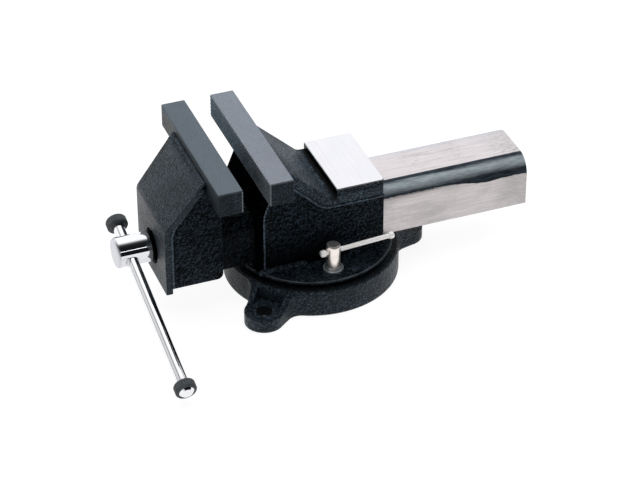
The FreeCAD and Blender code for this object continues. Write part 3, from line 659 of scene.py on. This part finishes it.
def bead(name, pts, out, body, w=6.0, h=1.8, pitch=2.1, sink=0.0, seed=0.0, mat=None, taper=1.6, blob=0.0):
    """A weld bead along a line of points (mm).  out points away from the joint; ripples lie across it like fish scales."""
    P = [Vector(p) * MM for p in pts]
    seg = [(P[i + 1] - P[i]).length for i in range(len(P) - 1)]
    total = sum(seg)
    step = 0.42 * MM
    n = max(8, int(total / step))
    ring = 11
    bm = bmesh.new()
    rows = []
    outs = out if isinstance(out, list) else [out] * len(P)
    outs = [Vector(o).normalized() for o in outs]
    for k in range(n + 1):
        s = total * k / n
        i, r = 0, s
        while i < len(seg) - 1 and r > seg[i]:
            r -= seg[i]
            i += 1
        f = min(1.0, r / seg[i]) if seg[i] else 0.0
        p = P[i].lerp(P[i + 1], f)
        up0 = outs[i].lerp(outs[i + 1], f).normalized()
        t = (P[i + 1] - P[i]).normalized()
        side = t.cross(up0).normalized()
        up = side.cross(t).normalized()
        end = min(1.0, s / (taper * MM), (total - s) / (taper * MM))
        end = math.sqrt(max(0.0, 1 - (1 - end) ** 2))
        big = 1.0 + blob * math.exp(-(s / (3.0 * MM)) ** 2)
        wob = 1.0 + 0.16 * noise.noise(Vector((s * 130 + seed, seed * 1.7, 0.3)))
        drift = 0.35 * MM * noise.noise(Vector((s * 95, seed * 2.3 + 5, 1.1)))
        row = []
        for j in range(ring):
            a = math.pi * j / (ring - 1)
            ph = (s + 1.0 * MM * math.sin(a)) / (pitch * MM) + 0.25 * noise.noise(Vector((s * 200, seed, 4.4)))
            fr = ph - math.floor(ph)
            rip = 1.0 + 0.17 * (1.0 - fr) * math.sin(min(1.0, fr * 5.0) * math.pi / 2)
            hh = h * MM * wob * rip * end * big
            ww = 0.5 * w * MM * wob * (0.35 + 0.65 * end) * big
            row.append(bm.verts.new(p + side * (ww * math.cos(a) + drift) + up * (hh * math.sin(a) - sink * MM)))
        rows.append(row)
    for k in range(n):
        for j in range(ring - 1):
            bm.faces.new((rows[k][j], rows[k][j + 1], rows[k + 1][j + 1], rows[k + 1][j]))
        bm.faces.new((rows[k][ring - 1], rows[k][0], rows[k + 1][0], rows[k + 1][ring - 1]))
    bm.faces.new(rows[0])
    bm.faces.new(list(reversed(rows[n])))
    return new_piece(name, bm, body, mat or paint_weld, 60.0)


# ---- plates with broken corners
soften("movable_front_plate", 0.7, paint_front)
soften("movable_side_plate_right", 0.8, paint_side_moving)
soften("movable_side_plate_left", 0.8, paint_side_moving)
soften("movable_back_plate", 0.4, paint_table)
soften("fixed_front_plate", 0.7, paint_inner_shade)
soften("fixed_side_plate_right", 0.5, paint_side)
soften("fixed_side_plate_left", 0.5, paint_side)
soften("top_strap", 0.9, strap_mat)
soften("slide_bar", 0.5, bar_mat)
soften("body_floor_plate", 0.3, paint_table)

# ---- CAD nodes that stay
for n, m in {
    "swivel_base": cast_paint, "turntable_plate": table_mat, "anvil_plate": anvil_mat,
    "fixed_jaw_block": jaw_fixed, "movable_jaw_block": jaw_moving,
    "pivot_bolt": oxide, "pivot_washer": washer_steel, "screw_nut": iron, "nut_screws": oxide,
    "lock_washer_right": zinc_washer, "lock_washer_left": zinc_washer, "lock_bolt_right": zinc_bolt, "lock_bolt_left": zinc_bolt,
    "lock_tommy_right": zinc_bar, "lock_tommy_left": zinc_bar, "t_nut_right": oxide, "t_nut_left": oxide,
    "thrust_block": oxide, "thrust_washer": washer_steel, "retaining_collar": oxide, "collar_pin": oxide,
    "handle_bar": chrome_bar,
}.items():
    N[n].data.materials.clear()
    N[n].data.materials.append(m)

# ---- lead screw: a turned head and shank in place of the CAD node, and a real thread behind them
scr_lo, scr_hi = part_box("lead_screw")
THREAD_Y0 = -0.1038


def lathe(prof, frame_of, seg):
    """Closed solid of revolution.  prof is (t, r) in mm from end to end; frame_of gives (origin, axis, e1, e2)."""
    o, ax, e1, e2 = frame_of
    bm = bmesh.new()
    rings = []
    for t, r in prof:
        c = o + ax * (t * MM)
        if r < 1e-6:
            rings.append([bm.verts.new(c)])
        else:
            rings.append([bm.verts.new(c + (e1 * math.cos(2 * math.pi * k / seg) + e2 * math.sin(2 * math.pi * k / seg)) * (r * MM))
                          for k in range(seg)])
    for a, b in zip(rings, rings[1:]):
        for k in range(seg):
            j = (k + 1) % seg
            q = [a[k % len(a)], a[j % len(a)], b[j % len(b)], b[k % len(b)]]
            u = []
            for v in q:
                if v not in u:
                    u.append(v)
            bm.faces.new(u)
    bmesh.ops.recalc_face_normals(bm, faces=bm.faces)
    return bm


def carve(bm, cutter):
    """bm minus cutter, by an exact boolean."""
    obs = []
    for nm, b in (("tmp_a", bm), ("tmp_b", cutter)):
        me = bpy.data.meshes.new(nm)
        b.to_mesh(me)
        b.free()
        o = bpy.data.objects.new(nm, me)
        scene.collection.objects.link(o)
        obs.append(o)
    md = obs[0].modifiers.new("cut", "BOOLEAN")
    md.operation, md.solver, md.object = "DIFFERENCE", "EXACT", obs[1]
    bpy.context.view_layer.update()
    ev = obs[0].evaluated_get(bpy.context.evaluated_depsgraph_get())
    out = bmesh.new()
    out.from_mesh(ev.to_mesh())
    ev.to_mesh_clear()
    for o in obs:
        me = o.data
        bpy.data.objects.remove(o)
        bpy.data.meshes.remove(me)
    return out


hy0, hy1 = mm(scr_lo.y), mm(lo("movable_front_plate").y) + 2.5
hr = 13.3
prof = [(hy0, 0.0), (hy0, 5.0), (hy0, hr - 2.3)]
prof += [(hy0 + 2.4 * (1 - math.cos(a)) , hr - 2.3 + 2.3 * math.sin(a)) for a in (0.26, 0.52, 0.79, 1.05, 1.31, 1.5708)]
t = hy0 + 3.4
while t < hy1 - 1.4:
    prof.append((t, hr))
    t += 1.0
prof += [(hy1 - 1.0, hr), (hy1 - 0.7, hr - 0.1), (hy1 - 0.3, hr - 0.35), (hy1, hr - 0.8), (hy1, 11.0)]
prof += [(-112.0, 11.0), (-110.0, 8.4), (-106.0, 8.4), (mm(THREAD_Y0) - 0.3, 10.6), (mm(THREAD_Y0) - 0.3, 0.0)]
head_bm = lathe(prof, (Vector((0, 0, SCREW_Z)), Vector((0, 1, 0)), Vector((1, 0, 0)), Vector((0, 0, 1))), 120)
h_mid = Vector((0, cap_a.y, SCREW_Z))
h_e2 = H_AXIS.cross(Vector((0, 1, 0)))
cut_bm = lathe([(-26, 0), (-26, 8.2), (-13.4, 6.5), (-12.2, 5.08), (12.2, 5.08), (13.4, 6.5), (26, 8.2), (26, 0)],
               (h_mid, H_AXIS, Vector((0, 1, 0)), h_e2), 72)
new_piece("screw_head", carve(head_bm, cut_bm), "screw", head_mat, 26.0, ("lead_screw",))


def thread_piece():
    pitch, ro, ri = 5.0 * MM, 11.0 * MM, 8.25 * MM
    y0, y1 = THREAD_Y0, scr_hi.y
    turns = int((y1 - y0) / pitch) + 3
    seg = 44
    prof = [(0.0, ro), (0.32, ro), (0.50, ri), (0.82, ri)]
    bm = bmesh.new()
    grid = []
    for k in range(turns * seg + 1):
        a = 2 * math.pi * (k % seg) / seg
        base = y0 - 1.5 * pitch + pitch * k / seg
        grid.append([bm.verts.new((r * math.cos(a), base + f * pitch, SCREW_Z + r * math.sin(a))) for f, r in prof])
    for k in range(turns * seg):
        for i in range(3):
            bm.faces.new((grid[k][i], grid[k][i + 1], grid[k + 1][i + 1], grid[k + 1][i]))
        if k + seg + 1 < len(grid):
            bm.faces.new((grid[k][3], grid[k + seg][0], grid[k + seg + 1][0], grid[k + 1][3]))
    bmesh.ops.remove_doubles(bm, verts=bm.verts, dist=1e-7)
    for y, sgn in ((y0, -1), (y1 - 0.0004, 1)):
        g = bmesh.ops.bisect_plane(bm, geom=bm.verts[:] + bm.edges[:] + bm.faces[:], plane_co=(0, y, 0), plane_no=(0, sgn, 0),
                                   clear_outer=True)
        es = [e for e in g["geom_cut"] if isinstance(e, bmesh.types.BMEdge)]
        bmesh.ops.contextual_create(bm, geom=es)
    # chamfered first threads
    for v in bm.verts:
        over = v.co.y - (y1 - 0.0034)
        if over > 0:
            d = Vector((v.co.x, 0, v.co.z - SCREW_Z))
            lim = ro - over * 0.9
            if d.length > lim:
                d *= lim / d.length
                v.co.x, v.co.z = d.x, SCREW_Z + d.z
    return new_piece("screw_thread", bm, "screw", thread_steel, 32.0, ("lead_screw",))


thread_piece()


# ---- handle caps: ribbed rubber round the bar's end
def cap_piece(node, centre, away):
    bl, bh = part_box(node)
    ax = H_AXIS * away
    e1 = Vector((0, 1, 0))
    e2 = ax.cross(e1).normalized()
    R, T, ribs = 9.2, 8.4, 26
    prof = [(-T / 2, 5.15), (-T / 2, 6.4), (-T / 2, R - 1.4), (-T / 2 + 0.5, R - 0.5), (-T / 2 + 1.3, R), (-T / 2 + 2.2, R), (T / 2 - 2.2, R),
            (T / 2 - 1.3, R), (T / 2 - 0.5, R - 0.5), (T / 2, R - 1.4), (T / 2, 6.9), (T / 2 - 0.5, 6.5), (T / 2 - 0.5, 5.15)]
    seg = ribs * 8
    bm = bmesh.new()
    cols = []
    for k in range(seg):
        a = 2 * math.pi * k / seg
        ph = (k % 8) / 8.0
        groove = max(0.0, math.cos(2 * math.pi * ph)) ** 3 * 0.62
        col = []
        for t, r in prof:
            g = groove * max(0.0, min(1.0, (r - (R - 1.5)) / 1.4))
            rr = (r - g) * MM
            col.append(bm.verts.new(centre + ax * (t * MM) + (e1 * math.cos(a) + e2 * math.sin(a)) * rr))
        cols.append(col)
    m = len(prof)
    for k in range(seg):
        q = cols[(k + 1) % seg]
        for i in range(m):
            j = (i + 1) % m
            bm.faces.new((cols[k][i], cols[k][j], q[j], q[i]))
    return new_piece(node + ".v", bm, "handle", rubber, 50.0, (node,))


cap_piece("handle_cap_upper", cap_a, -1)
cap_piece("handle_cap_lower", cap_b, 1)

# ------------------------------------------------------------------ welds
zt, sx, yr, jl = mm(Z_TABLE), mm(SIDE_X1), mm(BODY_REAR), mm(JAW_LOW)
fy0, fy1 = mm(lo("fixed_front_plate").y), mm(hi("fixed_front_plate").y)
fx, fxt = 38.4, mm(hi("movable_front_plate").x)
ymf, my, mxs = mm(Y_MOV_FRONT), mm(MSIDE_Y), mm(MSIDE_X)
fyo, fyi = mm(FRONT_Y), mm(lo("movable_side_plate_right").y)
ztop = mm(hi("movable_front_plate").z)
bz1, bhw = mm(BAR_Z1), mm(BAR_HW)
strap_low = mm(lo("top_strap").z)
az0, ay0, ahw = mm(lo("anvil_plate").z), mm(ANVIL_Y0), mm(hi("anvil_plate").x)


def quad(a, b, c, n=7):
    return [tuple((1 - u) ** 2 * p + 2 * u * (1 - u) * q + u * u * r for p, q, r in zip(a, b, c)) for u in [i / (n - 1) for i in range(n)]]


ysb = mm(Y_FIX_BACK)
ylow = ysb + (jl + 0.4 - strap_low) / math.tan(math.radians(42.8))
c42, s42 = math.cos(math.radians(42.8)), math.sin(math.radians(42.8))
for sgn, side in ((1, "right"), (-1, "left")):
    # side plate to turntable
    X = sgn * (sx + 1.5)
    bead("weld_side_" + side, [(X, fy0 + 0.6, zt + 1.5), (X, -18.5, zt + 1.5)], (sgn, 0, 1), "vise_body",
         w=5.4, h=1.4, pitch=2.6, seed=3.0 + sgn, blob=0.5, taper=3.0)
    # painted shade: the back stretch of this weld takes the darker turntable paint
    bead("weld_side_rear_" + side, [(X, yr - 1.0, zt + 1.3), (X, 20.0, zt + 1.3)], (sgn, 0, 1), "vise_body",
         w=4.8, h=1.2, pitch=2.6, seed=5.0 + sgn, taper=3.0, mat=paint_table)
    # front plate to side plate
    line = [(sgn * (sx + 0.1), fy0 + 6.3, zt + 3.0)] + quad((sgn * (sx + 0.1), fy0 + 6.3, 82.0), (sgn * (sx + 0.1), fy0 + 6.3, 88.6), (sgn * (sx + 0.1), fy0 + 8.8, 94.4))
    line.append((sgn * (sx + 0.1), fy1 - 0.6, jl - 1.2))
    bead("seam_front_" + side, line, (sgn, 0.5, 0), "vise_body", w=2.0, h=0.75, pitch=3.2, seed=7.0 + sgn, taper=0.8, mat=paint_seam_highlight)
    # strap to side plate, just under the strap
    off = 1.9
    a = (sgn * sx, ylow - 6.3 * c42 - off * s42, strap_low + 6.3 * s42 - off * c42)
    line = [(sgn * sx, ysb + 1.4 - off * s42, jl - 1.6)] + quad(a, (sgn * sx, ylow - off * 0.39, strap_low - off), (sgn * sx, ylow + 6.3, strap_low - off))
    line.append((sgn * sx, yr - 0.8, strap_low - off))
    bead("seam_strap_" + side, line, (sgn, 0, -0.25), "vise_body", w=2.1, h=0.75, pitch=2.8, seed=11.0 + sgn, taper=0.8, mat=paint_seam_highlight)
    # anvil to strap
    bead("seam_anvil_" + side, [(sgn * (ahw - 0.15), ay0 + 0.8, az0), (sgn * (ahw - 0.15), yr - 3.2, az0)], (sgn, 0, 0), "vise_body",
         w=2.2, h=0.5, pitch=2.4, seed=13.0 + sgn)
    # movable front plate to side plate
    zi = mm(hi("movable_side_plate_right").z)
    x1 = sgn * (mxs + 0.25)
    line = [(x1, fyi + 0.7, mm(lo("movable_side_plate_right").z) + 1.0)]
    line += quad((x1, fyi + 0.7, 84.0), (x1, fyi + 0.7, 90.2), (x1, fyi + 4.4, 95.2))
    line.append((x1, ymf - 0.8, zi - 2.0))
    bead("seam_moving_" + side, line, (sgn, 0.75, -0.3), "moving_jaw", w=2.6, h=0.95, pitch=3.0, seed=17.0 + sgn, taper=0.8, mat=paint_seam_highlight)
    # movable side plate to jaw block, and to the bar
    bead("weld_jaw_side_" + side, [(sgn * (mxs + 0.6), ymf + 1.2, jl - 0.6), (sgn * (mxs + 0.6), my - 0.6, jl - 0.6)], (sgn, 0, -1), "moving_jaw",
         w=3.0, h=0.8, pitch=2.2, seed=19.0 + sgn)
    bead("weld_bar_" + side, [(sgn * (bhw + 0.9), my + 0.6, mm(BAR_Z0) + 2.5), (sgn * (bhw + 0.9), my + 0.6, bz1 - 9.0)], (sgn, 1, 0), "moving_jaw",
         w=3.4, h=0.9, pitch=2.2, seed=23.0 + sgn)

# jaw blocks
bead("weld_jaw_front_low", [(fxt, ymf - 4.0, ztop + 0.9), (-fxt, ymf - 4.0, ztop + 0.9)], (0, -0.73, 0.69), "moving_jaw",
     w=4.6, h=1.1, pitch=2.6, seed=31.0, blob=0.35)
bead("weld_jaw_front_high", [(fxt + 0.6, ymf - 1.2, ztop + 3.6), (-fxt - 0.6, ymf - 1.2, ztop + 3.6)], (0, -0.73, 0.69), "moving_jaw",
     w=4.4, h=1.2, pitch=2.6, seed=33.0, blob=0.35)
bead("weld_jaw_fill", [(fxt - 0.2, ymf - 2.2, ztop + 1.4), (-fxt + 0.2, ymf - 2.2, ztop + 1.4)], (0, -0.73, 0.69), "moving_jaw",
     w=7.6, h=1.2, pitch=6.0, seed=35.0)
bead("weld_jaw_back", [(-bhw + 2, my + 0.7, jl - 0.9), (bhw - 2, my + 0.7, jl - 0.9)], (0, 1, -1), "moving_jaw", w=3.6, h=0.9, seed=37.0)
bead("weld_back_bar", [(-23.0, my + 0.7, bz1 + 0.9), (23.0, my + 0.7, bz1 + 0.9)], (0, 1, 1), "moving_jaw", w=3.6, h=0.9, seed=39.0)
zsb = mm(hi("top_strap").z)
bead("weld_fixed_back", [(ahw - 0.5, ysb + 0.9, zsb + 0.4), (-ahw + 0.5, ysb + 0.9, zsb + 0.4)], (0, 1, 0.55), "vise_body",
     w=4.4, h=0.9, pitch=2.4, seed=41.0)
yfp = fy1 - 6.1
bead("weld_fixed_front", [(sx - 0.5, yfp - 0.9, jl - 0.9), (-sx + 0.5, yfp - 0.9, jl - 0.9)], (0, -1, -0.8), "vise_body", w=4.4, h=1.0, seed=43.0)
bead("weld_floor_rear", [(-sx + 3, yr + 1.2, zt + 1.2), (sx - 3, yr + 1.2, zt + 1.2)], (0, 1, 1), "vise_body", w=4.8, h=1.2, seed=47.0)
bead("weld_front_table", [(-26.0, fy0 - 1.0 + 1.0, zt + 1.1), (26.0, fy0, zt + 1.1)], (0, -1, 1), "vise_body", w=4.0, h=1.0, seed=49.0)

# ------------------------------------------------------------------ camera, floor and light
cam_d = bpy.data.cameras.new("camera")
cam = bpy.data.objects.new("camera", cam_d)
scene.collection.objects.link(cam)
cam_d.sensor_width = 36.0
cam_d.lens = 2560.94 / 630.0 * 36.0
cam_d.shift_x = (315.0 - 313.02) / 630.0
cam_d.shift_y = (223.22 - 243.0) / 630.0
az, el, roll = math.radians(69.22), math.radians(34.62), math.radians(-0.17)
back = Vector((math.sin(az) * math.cos(el), -math.cos(az) * math.cos(el), math.sin(el)))
right = Vector((math.cos(az), math.sin(az), 0.0))
up = back.cross(right)
r2 = right * math.cos(roll) + up * math.sin(roll)
u2 = -right * math.sin(roll) + up * math.cos(roll)
rot = Matrix((r2, u2, back)).transposed()
cam.matrix_world = Matrix.Translation(Vector((1.70185, -0.64358, 1.29884))) @ rot.to_4x4()
cam_d.clip_start, cam_d.clip_end = 0.05, 60.0
scene.camera = cam

bm = bmesh.new()
bmesh.ops.create_grid(bm, x_segments=8, y_segments=8, size=9.0)
fme = bpy.data.meshes.new("floor")
bm.to_mesh(fme)
bm.free()
floor = bpy.data.objects.new("floor", fme)
scene.collection.objects.link(floor)
FM = Mat("floor")
FM.set("Base Color", FM.mix(FM.noise(6.0, 3.0), (0.11, 0.11, 0.112), (0.13, 0.13, 0.132)))
FM.set("Emission Color", (1.0, 1.0, 1.0, 1.0))
FM.set("Emission Strength", 0.91)
FM.set("Roughness", 0.7)
floor.data.materials.append(FM.m)

world = bpy.data.worlds.new("studio")
scene.world = world
world.use_nodes = True
wt = world.node_tree
bg = wt.nodes["Background"]
tc = wt.nodes.new("ShaderNodeTexCoord")
dt = wt.nodes.new("ShaderNodeVectorMath")
dt.operation = "DOT_PRODUCT"
dt.inputs[1].default_value = (-0.716, 0.272, 0.643)
rp = wt.nodes.new("ShaderNodeValToRGB")
wt.links.new(tc.outputs["Generated"], dt.inputs[0])
wt.links.new(dt.outputs["Value"], rp.inputs[0])
wt.links.new(rp.outputs[0], bg.inputs[0])
e = rp.color_ramp.elements
e[0].position, e[0].color = 0.0, (0.006, 0.0065, 0.008, 1)
e[1].position, e[1].color = 1.0, (1.0, 1.0, 1.01, 1)
for pos, v in ((0.40, 0.012), (0.54, 0.05), (0.64, 0.17), (0.78, 0.86), (0.88, 1.0)):
    x = rp.color_ramp.elements.new(pos)
    x.color = (v, v * 1.005, v * 1.015, 1)
bg.inputs[1].default_value = 1.32


def area(name, place, aim, size, power, colour=(1, 1, 1)):
    d = bpy.data.lights.new(name, "AREA")
    d.shape = "RECTANGLE"
    d.size, d.size_y = size
    d.energy = power
    d.color = colour
    o = bpy.data.objects.new(name, d)
    scene.collection.objects.link(o)
    v = Vector(place) - Vector(aim)
    o.matrix_world = Matrix.Translation(Vector(place)) @ v.to_track_quat("Z", "Y").to_matrix().to_4x4()
    return o


fill = area("overhead_fill", (0.15, -0.1, 2.0), (0, 0, 0), (2.2, 2.2), 44.0)
fill.visible_glossy = False
card = area("front_card", (0.88, -1.74, 0.70), (0, 0, 0.05), (3.2, 1.7), 12.5)
card.visible_diffuse = False
card.visible_camera = False
side_card = area("side_card", (-0.84, -1.81, 0.93), (0, 0, 0.05), (1.2, 1.5), 4.2)
side_card.visible_diffuse = False
side_card.visible_camera = False
strip = area("glint_strip", (1.67, 0.29, 1.12), (0, 0, 0.06), (2.8, 0.13), 2.3)
strip.visible_diffuse = False
strip.visible_camera = False
area("left_softbox", (-1.7, -1.4, 0.62), (0, 0, 0.08), (1.3, 0.9), 4.4, (0.80, 0.92, 1.0))

scene.view_settings.view_transform = "Standard"
